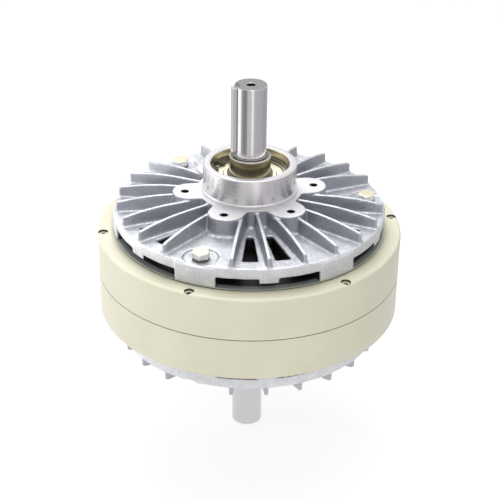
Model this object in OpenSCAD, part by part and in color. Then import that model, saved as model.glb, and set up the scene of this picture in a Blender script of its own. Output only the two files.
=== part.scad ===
// Two-shaft magnetic powder clutch, air cooled, in millimetres.
// The origin is the clutch centre, on the seam between the two yoke halves.
// +Z runs along the shafts towards the input side. The output side is the same form turned over.
// Heights without a sign of their own are measured from the seam and serve both sides.

/* [Housing] */
// Outer radius of the painted housing
housing_r = 167.5; // [164:0.5:185]
// Half the width of the painted housing, seam to end face
housing_half = 47.5; // [44:0.5:56]
// Radius of the rounded outer corner
corner_r = 3; // [2:0.5:8]
// Bevel along the seam between the halves
seam_bevel = 0.8; // [0.3:0.1:1.5]
// Width of the painted end face outside the machined land
rim_w = 18; // [15:0.5:21]
// Radial width of the machined land
land_w = 13.5; // [8:0.5:16]
// Height of the land above the painted end face
land_rise = 1.5; // [0.5:0.1:3]
// Depth of the register recess inside the land
register_depth = 3; // [1.5:0.5:5]
// Radial wall outside the coil
wall_t = 18.5; // [15:0.5:22]

/* [Coil] */
// Half the width of the coil chamber
coil_half = 22; // [16:1:26]
// Radial depth of the coil chamber
coil_t = 36.8; // [32:0.1:40]
// Wall thickness of the bobbin
bobbin_t = 3; // [2:0.5:4]
// Free space round the bobbin and the winding
coil_gap = 0.5; // [0.2:0.1:1]
// Radius of the hole for the coil leads, on the back of the housing
lead_hole_r = 7; // [5:0.5:9]
// Radius of the hole through the grommet
lead_bore_r = 3; // [2:0.5:4]

/* [Housing screws] */
// Number of housing screws, pads, lobes and short feet round the clutch
stations = 6; // [6:2:8]
// Distance of the housing screws from the outside of the housing
housing_screw_inset = 6.25; // [6:0.25:8]
// Radius of a housing screw
housing_screw_r = 3; // [2.5:0.25:3.5]
// Length of a housing screw under its head
housing_screw_l = 45; // [40:1:52]
// Depth of the counterbore below the painted face
counterbore_depth = 8.5; // [7:0.5:12]

/* [Bracket plate] */
// Distance of the bracket's rim inside the edge of the land
bracket_inset = 1.5; // [1:0.5:5]
// Thickness of the bracket plate
plate_t = 12; // [9:0.5:14]
// Height of the open slot between the land and the plate
slot_h = 11; // [8:0.5:14]
// Width of a pad across the rim
pad_w = 45; // [36:1:50]
// Radial length of a pad
pad_l = 32; // [28:1:34]
// Width of a short foot between the pads
foot_w = 20.7; // [14:0.1:26]
// Radial length of a short foot
foot_l = 12; // [8:1:20]
// Drop of a short foot below the plate
foot_drop = 5; // [2:0.5:7]

/* [Fins and windows] */
// Fin thickness at the top
fin_tip_t = 3.6; // [2.6:0.1:4.2]
// Fin thickness at the root
fin_root_t = 5.2; // [4.4:0.1:6.4]
// Distance of the fin ends from the bracket's rim
fin_inset = 2; // [1:0.5:8]
// Radius where the fin tops begin to arch down
fin_arch_r = 85; // [75:1:100]
// Height of the fins over the plate beside the hub
fin_rise = 17.3; // [14:0.1:19]
// Height of the fins over the plate at their outer end
fin_end_rise = 10.6; // [7:0.1:12]
// Inner end of a window
window_in_r = 77; // [74:0.5:88]
// Distance of a window's outer end from the bracket's rim
window_inset = 17; // [12:0.5:22]
// Width of a window at its inner end
window_in_w = 8; // [6:0.5:10]
// Width of a window at its outer end
window_out_w = 16.5; // [12:0.5:20]

/* [Hub] */
// Height of the hub face over the plate
hub_rise = 20; // [18:0.5:24]
// Radius of the hub ring between the lobes
hub_ring_r = 57.5; // [56.5:0.5:60]
// Radius of the circle of tapped holes
lobe_pos = 71; // [69:0.5:73]
// Radius of a lobe's round end, half its width
lobe_r = 19.5; // [17:0.5:20]
// Distance of a lobe's round end from the axis
lobe_end_r = 84.5; // [82:0.5:86]
// Radius of a tapped hole in a lobe
lobe_hole_r = 4.25; // [3:0.25:5]
// Depth of a tapped hole in a lobe
lobe_hole_depth = 20; // [14:1:22]
// Radius of the machined spigot
spigot_r = 51; // [49.5:0.5:52.5]
// Height of the spigot over the hub face
spigot_h = 31.3; // [28:0.1:36]
// Width of the ledge round the foot of the spigot
ledge_w = 1.5; // [0.5:0.5:3]
// Height of that ledge
ledge_h = 2.5; // [1:0.5:4]

/* [Bracket bolts] */
// Distance of the bracket bolts from the edge of the land
bolt_inset = 18; // [16.5:0.5:21]
// Radius of a bracket bolt
bolt_r = 5; // [4:0.5:5.5]
// Length of a bracket bolt under its head
bolt_l = 40; // [36:1:44]
// Width across flats of the bolt head
bolt_af = 17; // [16:0.5:18]
// Height of the bolt head
bolt_head_h = 6.4; // [5:0.1:8]
// Thickness of a lock washer
lock_washer_t = 2.2; // [1.5:0.1:3]
// Radius of the spot face under a bolt
spot_r = 18.5; // [14:0.5:20]
// Depth of the spot face
spot_depth = 2; // [1:0.5:3]

/* [Main bearings] */
// Bore radius of a main bearing, which is the radius of its shaft seat
main_bore_r = 22.5; // [20:0.5:24]
// Radial space between the bore and the outside of a main bearing
main_section = 20; // [18.5:0.5:21.5]
// Width of a main bearing
main_w = 19; // [16:0.5:21]
// Depth of the bearing face below the rim of the spigot
main_recess = 13.3; // [8:0.1:16]
// Ball diameter as a share of the space between a bearing's bore and its outside
ball_share = 0.61; // [0.5:0.01:0.63]
// Number of balls in each bearing
ball_count = 9; // [7:1:9]
// Thickness of a bore retaining ring
bore_ring_t = 3; // [2:0.25:3.5]
// Radial depth of a bore retaining ring's groove
bore_ring_depth = 1.75; // [1:0.25:2]

/* [Shafts] */
// Overall length over both shaft ends
overall_l = 425; // [400:1:460]
// Radius of the shaft ends
shaft_r = 17.5; // [15:0.5:19]
// Height of the bearing seat's end over the spigot rim
collar_rise = 8.7; // [4:0.1:14]
// Radius of the shaft behind the main bearing
shoulder_r = 26; // [25:0.5:27]
// Radius of the tapped centre hole in a shaft end
centre_hole_r = 5.1; // [3.5:0.1:6]
// Depth of the tapped centre hole
centre_hole_depth = 28; // [16:1:36]
// Bevel of the shaft ends
shaft_bevel = 0.8; // [0.4:0.1:1.5]
// Width of a shaft key
key_w = 10; // [8:0.5:12]
// Height of a shaft key
key_h = 8; // [6:0.5:9]
// Depth of a keyway
key_depth = 5; // [3.5:0.5:6]
// Space between the key and the end of the bearing seat
key_start = 4; // [3:0.5:10]
// Space between the key and the shaft end
key_end = 2.5; // [1:0.5:12]
// Direction of the input key at rest, in degrees from +X
input_key_turn = -173; // [-180:1:180]
// Direction of the output key at rest, in degrees from +X
output_key_turn = 90; // [-180:1:180]

/* [Drum] */
// Wall thickness of the drum
drum_t = 12.2; // [11:0.1:14]
// Half the length of the drum wall between the side plates
drum_half = 40; // [36:0.5:41]
// Air gap between the drum and the yokes
air_gap = 1; // [0.6:0.1:1.5]
// Half the width of the non-magnetic ring in the drum
break_half = 9; // [5:0.5:12]
// Thickness of a side plate
side_t = 10; // [9:0.5:11]
// Radius of a side plate screw
side_screw_r = 2.5; // [2:0.25:3]
// Length of a side plate screw under its head
side_screw_l = 18; // [14:1:24]
// Thickness of the input shaft's flange
flange_t = 7; // [5:0.5:7.5]
// Radius of the input shaft's flange
flange_r = 60; // [57:0.5:62]
// Radius of a flange screw
flange_screw_r = 3; // [2:0.25:3]
// Length of a flange screw
flange_screw_l = 15; // [12:0.5:16]

/* [Rotor] */
// Radial gap that holds the powder
powder_gap = 1.8; // [1.2:0.1:2.4]
// Thickness of the powder layer on the drum wall
powder_t = 1; // [0.5:0.1:1.1]
// Half the width of the rotor rim
rotor_half = 37; // [30:0.5:37.5]
// Thickness of the rotor rim
rotor_rim_t = 15; // [10:0.5:20]
// Half the thickness of the rotor web
web_half = 8; // [5:0.5:12]
// Radius of the rotor hub
rotor_hub_r = 40; // [36:0.5:44]
// Half the length of the rotor hub
rotor_hub_half = 28; // [24:0.5:30]
// Radius of the rotor's shaft seat
rotor_seat_r = 25; // [23:0.5:26]
// Width of the rotor key
rotor_key_w = 14; // [10:0.5:16]
// Height of the rotor key
rotor_key_h = 9; // [7:0.5:10]
// Depth of the rotor keyway in the shaft
rotor_key_depth = 5.5; // [4:0.5:6]
// Length of the rotor key
rotor_key_l = 45; // [30:1:46]

/* [Inner bearings] */
// Bore radius of the pilot bearing
pilot_bore_r = 15; // [12.5:0.5:16]
// Radial space between the bore and the outside of the pilot bearing
pilot_section = 16; // [14:0.5:17]
// Width of the pilot bearing
pilot_w = 16; // [12:0.5:16.5]
// Radius of the input shaft's hub round the pilot bearing
pilot_hub_r = 45; // [42:0.5:46]
// Bore radius of the cover bearing
cover_bore_r = 27.5; // [27:0.5:29]
// Radial space between the bore and the outside of the cover bearing
cover_section = 17.5; // [16.5:0.5:18.5]
// Width of the cover bearing
cover_w = 18; // [14:0.5:18]
// Radius of the shaft between the rotor and the cover bearing
cover_shoulder_r = 32; // [30:0.5:34]
// Radius of the cover hub
cover_hub_r = 53; // [51:0.5:55]
// Thickness of the lip behind the cover bearing
lip_t = 2; // [1.5:0.5:3]

/* [Fits] */
// Play between parts that turn past each other without a bearing
running_gap = 2; // [1:0.25:2.5]
// Radial play of the bracket in its register
register_gap = 0.1; // [0.05:0.05:0.4]
// Radial play between a ball and its raceway
ball_play = 0.05; // [0.02:0.01:0.08]
// Radial play of a screw in its clearance hole
screw_play = 0.3; // [0.2:0.05:0.6]
// Thickness of a shaft retaining ring
shaft_ring_t = 1.75; // [1.5:0.25:2]
// Radial depth of a shaft retaining ring's groove
shaft_ring_depth = 1.25; // [0.75:0.25:1.5]

/* [Hidden] */

$fn = 96;

// Colours, as the photograph shows them
cream = [0.87, 0.85, 0.74];
cast = [0.80, 0.80, 0.83];
machined = [0.72, 0.71, 0.70];
bearing_steel = [0.66, 0.64, 0.58];
dark_steel = [0.30, 0.31, 0.33];
zinc = [0.86, 0.82, 0.62];
copper = [0.72, 0.42, 0.22];
resin = [0.15, 0.14, 0.13];

// How far a cutter runs past the face that it cuts
over = 1;

// Play of a retaining ring in its groove, and how it is turned round the shaft
ring_play = 0.1;
input_bore_ring_turn = 150;
output_bore_ring_turn = 30;
input_shaft_ring_turn = 60;

// Head of a socket screw, the counterbore round it, and how far the head is sunk
function socket_head_r(r) = 1.68 * r;
function counterbore_r(r) = socket_head_r(r) + screw_play;
head_sunk = 0.5;
// Space below the tip of a screw in its tapped hole
tip_space = 2;

// Heights and radii of the housing, with the coil and the drum inside it
land_z = housing_half + land_rise;
land_r = housing_r - rim_w;
register_z = land_z - register_depth;
register_r = land_r - land_w;
housing_screw_pos = housing_r - housing_screw_inset;
chamber_r = housing_r - wall_t;
yoke_bore_r = chamber_r - coil_t;
drum_r = yoke_bore_r - air_gap;

// Radii and heights of the bracket
bracket_r = land_r - bracket_inset;
fin_end_r = bracket_r - fin_inset;
window_out_r = bracket_r - window_inset;
bolt_pos = land_r - bolt_inset;
plate_low = land_z + slot_h;
plate_top = plate_low + plate_t;
hub_face = plate_top + hub_rise;
spigot_top = hub_face + spigot_h;
spot_z = plate_top - spot_depth;
pad_in_r = land_r - pad_l;
pad_foot_z = register_z + 0.2 * register_depth;
pad_top_z = plate_top - 1.2 * spot_depth;
fin_top = plate_top + fin_rise;
station_step = 360 / stations;
fin_step = station_step / 4;

// Every second station has a bracket bolt, and no fin
bolt_count = stations / 2;
bolt_step = 2 * station_step;

// The fin tops follow an arc from fin_arch_r to the fin ends
arch_run = fin_end_r - fin_arch_r;
arch_drop = fin_rise - fin_end_rise;
arch_arc = (arch_run * arch_run + arch_drop * arch_drop) / (2 * arch_drop);

// Outer radii of the bearings
main_outer_r = main_bore_r + main_section;
pilot_outer_r = pilot_bore_r + pilot_section;
cover_outer_r = cover_bore_r + cover_section;

// Lip of the hub that the outer ring of a main bearing rests on
main_lip_w = 5.5;
main_lip_h = 5;

// Heights of the main bearings and of the hub inside them
main_high = spigot_top - main_recess;
main_low = main_high - main_w;
lip_bore_r = main_outer_r - main_lip_w;
lip_low = main_low - main_lip_h;
labyrinth_r = shoulder_r + running_gap;
collar_top = spigot_top + collar_rise;
shaft_end = overall_l / 2;

// Radii and heights inside the drum
drum_in_r = drum_r - drum_t;
rotor_r = drum_in_r - powder_gap;
side_z = drum_half + side_t;
flange_top = side_z + flange_t;
side_screw_pos = drum_r - drum_t / 2;
side_seat_z = side_z - 2 * side_screw_r - head_sunk;
flange_screw_pos = (pilot_hub_r + flange_r) / 2;
pilot_high = side_z - 1;
pilot_low = pilot_high - pilot_w;
cover_low = drum_half + lip_t;
cover_high = cover_low + cover_w;
cover_hub_z = cover_high + bore_ring_t + 2;
hub_low = cover_hub_z + running_gap + 1;
hub_recess_r = cover_hub_r + running_gap + 1;
spigot_bevel = 1.3;
rotor_ring_t = 2;
key_l = shaft_end - key_end - collar_top - key_start;

// Turns the input-side form over to make the output side
module turned_over() {
    rotate([180, 0, 0]) children();
}

// Copies a form round the axis
module around(count, start = 0) {
    for (i = [0 : count - 1]) rotate([0, 0, start + i * 360 / count]) children();
}

module tube(outer_r, inner_r, z_low, z_high) {
    rotate_extrude() translate([inner_r, z_low]) square([outer_r - inner_r, z_high - z_low]);
}

module rod(r, z_low, z_high) {
    translate([0, 0, z_low]) cylinder(r = r, h = z_high - z_low);
}

// A round bar with a bevel at its upper end
module bevelled_rod(r, z_low, z_high, bevel) {
    rotate_extrude() polygon([
        [0, z_low], [r, z_low], [r, z_high - bevel], [r - bevel, z_high], [0, z_high]
    ]);
}

// Cutter for a hole with a bevelled mouth at z_high
module bevelled_hole(r, z_low, z_high, bevel) {
    rotate_extrude() polygon([
        [0, z_low], [r, z_low], [r, z_high - bevel], [r + bevel + over, z_high + over],
        [0, z_high + over]
    ]);
}

// Yoke halves

module yoke_profile() {
    difference() {
        union() {
            translate([yoke_bore_r, coil_half])
                square([housing_r - yoke_bore_r, housing_half - coil_half]);
            translate([chamber_r, 0]) square([wall_t, housing_half]);
            translate([yoke_bore_r, coil_half]) square([land_r - yoke_bore_r, land_z - coil_half]);
        }
        translate([yoke_bore_r - over, register_z])
            square([register_r - yoke_bore_r + over, register_depth + over]);
        translate([housing_r - corner_r, housing_half - corner_r]) difference() {
            square(corner_r + over);
            circle(corner_r);
        }
        polygon([
            [housing_r - seam_bevel, -over], [housing_r + over, -over],
            [housing_r + over, seam_bevel + over]
        ]);
    }
}

module bracket_tapped_holes() {
    around(bolt_count) translate([bolt_pos, 0, 0])
        rod(bolt_r, spot_z + lock_washer_t - bolt_l - tip_space, land_z + over);
}

// Way out for the coil leads along +Y, with a seat for the head of the grommet
grommet_head_r = lead_hole_r + 3;
grommet_seat = housing_r - 5;

module lead_hole() {
    rotate([-90, 0, 0]) rod(lead_hole_r, chamber_r - over, housing_r + over);
    rotate([-90, 0, 0]) rod(grommet_head_r, grommet_seat, housing_r + over);
}

module yoke_blank() {
    difference() {
        rotate_extrude() yoke_profile();
        bracket_tapped_holes();
    }
}

housing_seat_z = housing_half - counterbore_depth;

module upper_yoke() {
    color(cream) difference() {
        yoke_blank();
        lead_hole();
        around(stations) translate([housing_screw_pos, 0, 0]) {
            rod(housing_screw_r + screw_play, -over, housing_half);
            rod(counterbore_r(housing_screw_r), housing_seat_z, housing_half + over);
        }
    }
}

module lower_yoke() {
    color(cream) difference() {
        turned_over() yoke_blank();
        lead_hole();
        around(stations) translate([housing_screw_pos, 0, 0])
            rod(housing_screw_r, housing_seat_z - housing_screw_l - tip_space, over);
    }
}

// Socket screw with its head above z_seat
module socket_screw(r, length, z_seat) {
    socket_floor = z_seat + 0.8 * r;
    difference() {
        union() {
            rod(r, z_seat - length, z_seat);
            bevelled_rod(socket_head_r(r), z_seat, z_seat + 2 * r, 0.1 * r);
        }
        translate([0, 0, socket_floor]) cylinder(r = r, h = 2 * r, $fn = 6);
    }
}

module housing_screws() {
    color(cream) around(stations) translate([housing_screw_pos, 0, 0])
        socket_screw(housing_screw_r, housing_screw_l, housing_seat_z);
}

// Coil

bobbin_in_r = yoke_bore_r + coil_gap;
bobbin_out_r = chamber_r - coil_gap;
winding_r = bobbin_out_r - 2;
winding_half = coil_half - bobbin_t;

module coil_bobbin() {
    color(resin) difference() {
        tube(bobbin_out_r, bobbin_in_r, -coil_half, coil_half);
        tube(bobbin_out_r + over, bobbin_in_r + bobbin_t, -winding_half, winding_half);
    }
}

module coil_winding() {
    color(copper) tube(winding_r, bobbin_in_r + bobbin_t, -winding_half, winding_half);
}

module lead_grommet() {
    color(resin) rotate([-90, 0, 0]) difference() {
        union() {
            rod(lead_hole_r, chamber_r - coil_gap / 2, grommet_seat);
            bevelled_rod(grommet_head_r, grommet_seat, housing_r - 1, 1);
        }
        rod(lead_bore_r, chamber_r - over, housing_r + over);
    }
}

// Finned bracket

// A flat disc, hollowed below the hub for what turns there
module plate() {
    rim_bevel = 1.5;
    rotate_extrude() polygon([
        [lip_bore_r, hub_low], [hub_recess_r, hub_low], [hub_recess_r, plate_low],
        [bracket_r - rim_bevel, plate_low], [bracket_r, plate_low + rim_bevel],
        [bracket_r, plate_top - rim_bevel], [bracket_r - rim_bevel, plate_top],
        [lip_bore_r, plate_top]
    ]);
}

module pads() {
    pad_bevel = 1;
    intersection() {
        around(stations) translate([pad_in_r, -pad_w / 2, 0]) cube([pad_l + over, pad_w, plate_top]);
        rotate_extrude() polygon([
            [pad_in_r - over, pad_foot_z], [register_r - register_gap, pad_foot_z],
            [register_r - register_gap, land_z], [land_r, land_z], [land_r, pad_top_z - pad_bevel],
            [land_r - pad_bevel, pad_top_z], [pad_in_r - over, pad_top_z]
        ]);
    }
}

module feet() {
    intersection() {
        around(stations, station_step / 2) translate([bracket_r - foot_l, -foot_w / 2, 0])
            cube([foot_l + over, foot_w, plate_top]);
        tube(bracket_r, bracket_r - foot_l - over, plate_low - foot_drop, plate_low + plate_t / 2);
    }
}

// The hub ring carries six lobes with straight sides and round ends
module hub_outline() {
    lobe_middle = lobe_end_r - lobe_r;
    circle(hub_ring_r);
    around(stations) {
        translate([lobe_middle, 0]) circle(lobe_r);
        translate([0, -lobe_r]) square([lobe_middle, 2 * lobe_r]);
    }
}

module hub() {
    translate([0, 0, hub_low]) linear_extrude(hub_face - hub_low) hub_outline();
    rod(spigot_r + ledge_w, hub_low, hub_face + ledge_h);
    bevelled_rod(spigot_r, hub_low, spigot_top, spigot_bevel);
}

// The fins start inside the hub and in the middle of the plate
fin_start_r = spigot_r - 4;
fin_low = plate_top - plate_t / 2;

// One fin, tapered from root to tip, standing along +X
module fin_blade() {
    translate([fin_start_r, 0, 0]) rotate([90, 0, 90])
        linear_extrude(fin_end_r + over - fin_start_r) polygon([
            [-fin_root_t / 2, fin_low], [fin_root_t / 2, fin_low],
            [fin_tip_t / 2, fin_top + over], [-fin_tip_t / 2, fin_top + over]
        ]);
}

// The fins leave out the places of the three bracket bolts
module fins() {
    intersection() {
        for (turn = [0 : fin_step : 359]) {
            if (turn % bolt_step != 0) rotate([0, 0, turn]) fin_blade();
        }
        rotate_extrude() {
            translate([fin_start_r, fin_low]) square([fin_arch_r - fin_start_r, fin_top - fin_low]);
            intersection() {
                translate([fin_arch_r - over, fin_low]) square([arch_run + over, fin_top - fin_low]);
                translate([fin_arch_r, fin_top - arch_arc]) circle(arch_arc, $fn = 360);
            }
        }
    }
}

// Keystone window with a round inner end, cut through the plate
module windows() {
    window_round = window_in_w / 2;
    corner = 2;
    around(stations, station_step / 2) for (side = [-1, 1]) rotate([0, 0, side * fin_step / 2])
        translate([0, 0, plate_low - over]) linear_extrude(plate_t + 2 * over) {
            translate([window_in_r + window_round, 0]) circle(window_round);
            polygon([
                [window_in_r + window_round, -window_round],
                [window_out_r - corner, -window_out_w / 2], [window_out_r, corner - window_out_w / 2],
                [window_out_r, window_out_w / 2 - corner], [window_out_r - corner, window_out_w / 2],
                [window_in_r + window_round, window_round]
            ]);
        }
}

module hub_bores() {
    bevelled_hole(main_outer_r, main_low, spigot_top, spigot_bevel);
    tube(main_outer_r + bore_ring_depth, main_outer_r - over, main_high,
        main_high + bore_ring_t + ring_play);
    rod(lip_bore_r, lip_low, main_low + over);
    rod(labyrinth_r, hub_low - over, lip_low + over);
    around(stations) translate([lobe_pos, 0, 0])
        rod(lobe_hole_r, hub_face - lobe_hole_depth, hub_face + over);
}

module bolt_holes() {
    around(bolt_count) translate([bolt_pos, 0, 0]) {
        rod(bolt_r + screw_play, pad_foot_z - over, spot_z + over);
        rod(spot_r, spot_z, plate_top + over);
    }
}

module bracket() {
    difference() {
        union() {
            plate();
            pads();
            feet();
            hub();
            fins();
        }
        windows();
        hub_bores();
        bolt_holes();
    }
}

module upper_bracket() {
    color(cast) bracket();
}

module lower_bracket() {
    color(cast) turned_over() bracket();
}

// Bracket fasteners

// A cone takes the corners off each hexagon head at 30 degrees
module hex_bolts() {
    seat = spot_z + lock_washer_t;
    corner_to_middle = bolt_af / 2 / cos(30);
    face_r = 0.95 * bolt_af / 2;
    head_turn = 12;
    around(bolt_count) translate([bolt_pos, 0, 0]) {
        rod(bolt_r, seat - bolt_l, seat);
        translate([0, 0, seat]) intersection() {
            rotate([0, 0, head_turn]) cylinder(r = corner_to_middle, h = bolt_head_h, $fn = 6);
            cylinder(r1 = face_r + bolt_head_h / tan(30), r2 = face_r, h = bolt_head_h);
        }
    }
}

module lock_washers() {
    split_turn = 200;
    split_w = 1.6;
    around(bolt_count) translate([bolt_pos, 0, 0]) difference() {
        tube(bolt_af / 2 + 0.5, bolt_r + screw_play, spot_z, spot_z + lock_washer_t);
        rotate([0, 0, split_turn]) translate([0, -split_w / 2, spot_z - over])
            cube([bolt_af, split_w, lock_washer_t + 2 * over]);
    }
}

module upper_bracket_bolts() {
    color(zinc) hex_bolts();
}

module lower_bracket_bolts() {
    color(zinc) turned_over() hex_bolts();
}

module upper_lock_washers() {
    color(dark_steel) lock_washers();
}

module lower_lock_washers() {
    color(dark_steel) turned_over() lock_washers();
}

// Ball bearings, each between its lower and upper face

function pitch_r(bore_r, outer_r) = (bore_r + outer_r) / 2;
function ball_r(bore_r, outer_r) = ball_share * (outer_r - bore_r) / 2;
// How far a raceway shoulder stands off the ball circle, and half the thickness of a cage
function shoulder_off(ball_r) = 0.56 * ball_r;
function cage_half_t(ball_r) = 0.24 * ball_r;
// Depth of the seat for a shield, and the thickness of the shield
shield_seat = 1.6;
shield_t = 0.8;

module outer_ring(bore_r, outer_r, z_low, z_high) {
    pitch = pitch_r(bore_r, outer_r);
    ball = ball_r(bore_r, outer_r);
    shoulder = pitch + shoulder_off(ball);
    middle = (z_low + z_high) / 2;
    rotate_extrude() difference() {
        polygon([
            [shoulder, z_low + shield_seat], [shoulder + 1, z_low + shield_seat],
            [shoulder + 1, z_low], [outer_r - 1, z_low], [outer_r, z_low + 1],
            [outer_r, z_high - 1], [outer_r - 1, z_high], [shoulder + 1, z_high],
            [shoulder + 1, z_high - shield_seat], [shoulder, z_high - shield_seat]
        ]);
        translate([pitch, middle]) circle(ball + ball_play);
    }
}

module inner_ring(bore_r, outer_r, z_low, z_high) {
    pitch = pitch_r(bore_r, outer_r);
    ball = ball_r(bore_r, outer_r);
    shoulder = pitch - shoulder_off(ball);
    middle = (z_low + z_high) / 2;
    rotate_extrude() difference() {
        polygon([
            [bore_r, z_low], [shoulder - 0.5, z_low], [shoulder, z_low + 0.5],
            [shoulder, z_high - 0.5], [shoulder - 0.5, z_high], [bore_r, z_high]
        ]);
        translate([pitch, middle]) circle(ball + ball_play);
    }
}

module shields(bore_r, outer_r, z_low, z_high) {
    pitch = pitch_r(bore_r, outer_r);
    ball = ball_r(bore_r, outer_r);
    inner = pitch - shoulder_off(ball) + 0.4;
    outer = pitch + shoulder_off(ball) + 1;
    tube(outer, inner, z_low + shield_seat - shield_t, z_low + shield_seat);
    tube(outer, inner, z_high - shield_seat, z_high - shield_seat + shield_t);
}

module balls(bore_r, outer_r, z_low, z_high) {
    around(ball_count) translate([pitch_r(bore_r, outer_r), 0, (z_low + z_high) / 2])
        sphere(ball_r(bore_r, outer_r));
}

module cage(bore_r, outer_r, z_low, z_high) {
    pitch = pitch_r(bore_r, outer_r);
    ball = ball_r(bore_r, outer_r);
    middle = (z_low + z_high) / 2;
    half = ball + 1;
    difference() {
        tube(pitch + cage_half_t(ball), pitch - cage_half_t(ball), middle - half, middle + half);
        around(ball_count) translate([0, 0, middle]) rotate([0, 90, 0])
            rod(ball + 2 * ball_play, pitch - 2 * ball, pitch + 2 * ball);
    }
}

module input_bearing_outer_ring() {
    color(bearing_steel) outer_ring(main_bore_r, main_outer_r, main_low, main_high);
}

module input_bearing_shields() {
    color(bearing_steel) shields(main_bore_r, main_outer_r, main_low, main_high);
}

module input_bearing_balls() {
    color(machined) balls(main_bore_r, main_outer_r, main_low, main_high);
}

module input_bearing_cage() {
    color(bearing_steel) cage(main_bore_r, main_outer_r, main_low, main_high);
}

module input_bearing_inner_ring() {
    color(bearing_steel) inner_ring(main_bore_r, main_outer_r, main_low, main_high);
}

module output_bearing_outer_ring() {
    color(bearing_steel) turned_over()
        outer_ring(main_bore_r, main_outer_r, main_low, main_high);
}

module output_bearing_shields() {
    color(bearing_steel) turned_over()
        shields(main_bore_r, main_outer_r, main_low, main_high);
}

module output_bearing_balls() {
    color(machined) turned_over() balls(main_bore_r, main_outer_r, main_low, main_high);
}

module output_bearing_cage() {
    color(bearing_steel) turned_over()
        cage(main_bore_r, main_outer_r, main_low, main_high);
}

module output_bearing_inner_ring() {
    color(bearing_steel) turned_over()
        inner_ring(main_bore_r, main_outer_r, main_low, main_high);
}

module pilot_bearing_outer_ring() {
    color(bearing_steel) outer_ring(pilot_bore_r, pilot_outer_r, pilot_low, pilot_high);
}

module pilot_bearing_balls() {
    color(machined) balls(pilot_bore_r, pilot_outer_r, pilot_low, pilot_high);
}

module pilot_bearing_cage() {
    color(bearing_steel) cage(pilot_bore_r, pilot_outer_r, pilot_low, pilot_high);
}

module pilot_bearing_inner_ring() {
    color(bearing_steel) inner_ring(pilot_bore_r, pilot_outer_r, pilot_low, pilot_high);
}

module cover_bearing_outer_ring() {
    color(bearing_steel) turned_over()
        outer_ring(cover_bore_r, cover_outer_r, cover_low, cover_high);
}

module cover_bearing_balls() {
    color(machined) turned_over()
        balls(cover_bore_r, cover_outer_r, cover_low, cover_high);
}

module cover_bearing_cage() {
    color(bearing_steel) turned_over()
        cage(cover_bore_r, cover_outer_r, cover_low, cover_high);
}

module cover_bearing_inner_ring() {
    color(bearing_steel) turned_over()
        inner_ring(cover_bore_r, cover_outer_r, cover_low, cover_high);
}

// Retaining rings, open on one side, with a drilled lug at each end

module bore_retaining_ring(bore_r, z_low) {
    outer = bore_r + bore_ring_depth;
    inner = bore_r - 3.2;
    lug_pos = bore_r - 4.6;
    lug_r = 3.4;
    lug_hole_r = 1.5;
    open_half = 9;
    translate([0, 0, z_low]) linear_extrude(bore_ring_t) {
        difference() {
            circle(outer);
            circle(inner);
            polygon([
                [0, 0], [2 * outer * cos(open_half), -2 * outer * sin(open_half)],
                [2 * outer * cos(open_half), 2 * outer * sin(open_half)]
            ]);
        }
        for (side = [-1, 1]) rotate(side * (open_half + 5)) difference() {
            union() {
                translate([lug_pos, 0]) circle(lug_r);
                translate([lug_pos, -lug_r]) square([bore_r - lug_pos - 1, 2 * lug_r]);
            }
            translate([lug_pos - 0.4, 0]) circle(lug_hole_r);
        }
    }
}

module shaft_retaining_ring(seat_r, z_low, thick) {
    inner = seat_r - shaft_ring_depth;
    outer = seat_r + 2.6;
    lug_pos = seat_r + 3;
    lug_r = 2.6;
    lug_hole_r = 1.2;
    open_half = 10;
    lug_turn = open_half + 6;
    translate([0, 0, z_low]) linear_extrude(thick) difference() {
        union() {
            circle(outer);
            for (side = [-1, 1]) rotate(side * lug_turn) translate([lug_pos, 0]) circle(lug_r);
        }
        circle(inner);
        for (side = [-1, 1]) rotate(side * lug_turn) translate([lug_pos, 0]) circle(lug_hole_r);
        polygon([
            [0, 0], [2 * outer * cos(open_half), -2 * outer * sin(open_half)],
            [2 * outer * cos(open_half), 2 * outer * sin(open_half)]
        ]);
    }
}

module input_bore_ring() {
    color(dark_steel) rotate([0, 0, input_bore_ring_turn]) bore_retaining_ring(main_outer_r, main_high);
}

module output_bore_ring() {
    color(dark_steel) turned_over() rotate([0, 0, output_bore_ring_turn])
        bore_retaining_ring(main_outer_r, main_high);
}

module cover_bore_ring() {
    color(dark_steel) turned_over() bore_retaining_ring(cover_outer_r, cover_high);
}

module input_shaft_ring() {
    color(dark_steel) rotate([0, 0, input_shaft_ring_turn])
        shaft_retaining_ring(main_bore_r, main_high, shaft_ring_t);
}

module output_shaft_ring() {
    color(dark_steel) turned_over() shaft_retaining_ring(main_bore_r, main_high, shaft_ring_t);
}

module rotor_ring() {
    color(dark_steel) shaft_retaining_ring(rotor_seat_r, rotor_hub_half, rotor_ring_t);
}

// Shafts

// The end that stands out of the bracket, from the main bearing's shoulder outwards
module shaft_nose() {
    relief_w = 1.6;
    relief_depth = 0.5;
    rod(main_bore_r - shaft_ring_depth, main_low - over, main_high + over);
    difference() {
        union() {
            bevelled_rod(main_bore_r, main_low - over, collar_top, 1);
            bevelled_rod(shaft_r, main_low, shaft_end, shaft_bevel);
        }
        tube(main_bore_r + over, main_bore_r - shaft_ring_depth, main_high,
            main_high + shaft_ring_t + ring_play);
        tube(shaft_r + over, shaft_r - relief_depth, collar_top, collar_top + relief_w);
        bevelled_hole(centre_hole_r, shaft_end - centre_hole_depth, shaft_end, 1);
    }
}

// Keyway cutter along +X, open at the shaft end
module keyway() {
    translate([shaft_r - key_depth, -key_w / 2, collar_top + key_start])
        cube([2 * key_depth, key_w, shaft_end - collar_top]);
}

module shaft_key() {
    translate([shaft_r - key_depth, -key_w / 2, collar_top + key_start]) cube([key_h, key_w, key_l]);
}

module flange_screw_places() {
    around(stations) translate([flange_screw_pos, 0, 0]) children();
}

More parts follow.
